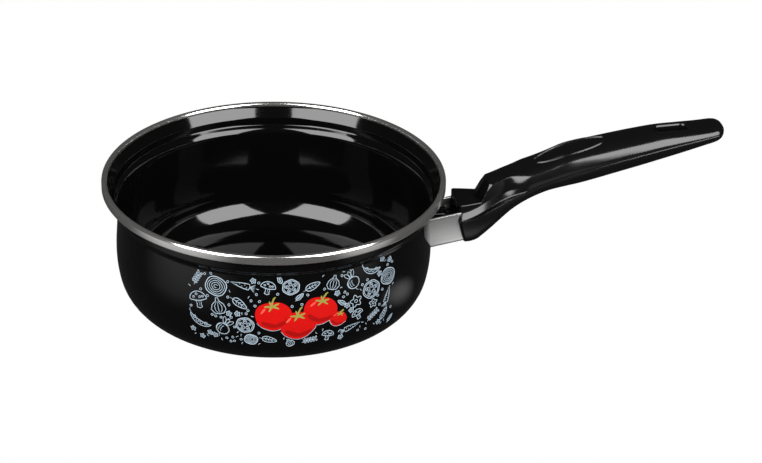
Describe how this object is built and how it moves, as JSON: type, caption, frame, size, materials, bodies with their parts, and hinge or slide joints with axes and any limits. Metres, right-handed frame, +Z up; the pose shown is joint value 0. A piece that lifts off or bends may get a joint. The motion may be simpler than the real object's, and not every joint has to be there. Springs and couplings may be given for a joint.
{
  "type": "saucepan",
  "caption": "Low enamelled steel saucepan with a rolled bright rim, a stepped seat for a lid, a steel flame guard and a long moulded side handle with a hanging slot",
  "frame": {"origin": "the middle of the flat base, on the surface that the pan stands on", "axes": "+Z up along the bowl's axis, +X along the handle, away from the bowl, +Y to the left of someone looking from the bowl along the handle"},
  "size_m": [0.345, 0.1872, 0.0891],
  "materials": {
    "black_enamel": "glossy black vitreous enamel fired on drawn steel",
    "rim_stainless": "bright rolled stainless strip with fine drawing lines round it",
    "bracket_enamel": "glossy black enamel, fired together with the bowl",
    "guard_stainless": "satin stainless sheet with fine lines along it",
    "phenolic": "semi-gloss black moulded phenolic",
    "zinc_plate": "zinc-plated steel"
  },
  "bodies": {
    "root": {"pan_shell": "black_enamel", "rim_band": "rim_stainless", "handle_bracket": "bracket_enamel", "flame_guard": "guard_stainless", "handle_grip": "phenolic", "handle_screw": "zinc_plate", "spring_washer": "zinc_plate", "square_nut": "zinc_plate"}
  },
  "joints": []
}
